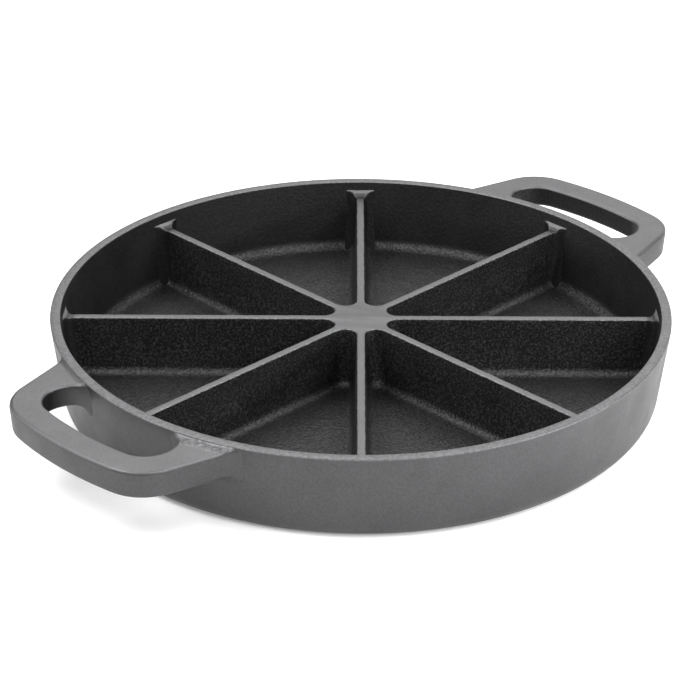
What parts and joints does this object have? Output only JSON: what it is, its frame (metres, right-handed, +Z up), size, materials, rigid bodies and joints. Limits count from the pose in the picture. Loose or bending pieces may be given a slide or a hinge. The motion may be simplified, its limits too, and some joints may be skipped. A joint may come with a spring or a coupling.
{
  "type": "wedge pan",
  "caption": "Round shallow cast iron pan divided into wedge pockets by straight walls that meet at a hub, with a loop handle on two opposite sides.",
  "frame": {"origin": "on the ground below the centre of the round base", "axes": "+Z up out of the pan, +X through one handle along the longest extent, +Y across the pan"},
  "size_m": [0.3194, 0.254, 0.0366],
  "materials": {
    "cast_iron": "seasoned sand-cast iron, satin"
  },
  "bodies": {
    "root": {"pan_floor": "cast_iron", "side_wall": "cast_iron", "centre_hub": "cast_iron", "divider_1": "cast_iron", "divider_2": "cast_iron", "divider_3": "cast_iron", "divider_4": "cast_iron", "divider_5": "cast_iron", "divider_6": "cast_iron", "divider_7": "cast_iron", "divider_8": "cast_iron", "handle_right": "cast_iron", "handle_left": "cast_iron"}
  },
  "joints": []
}
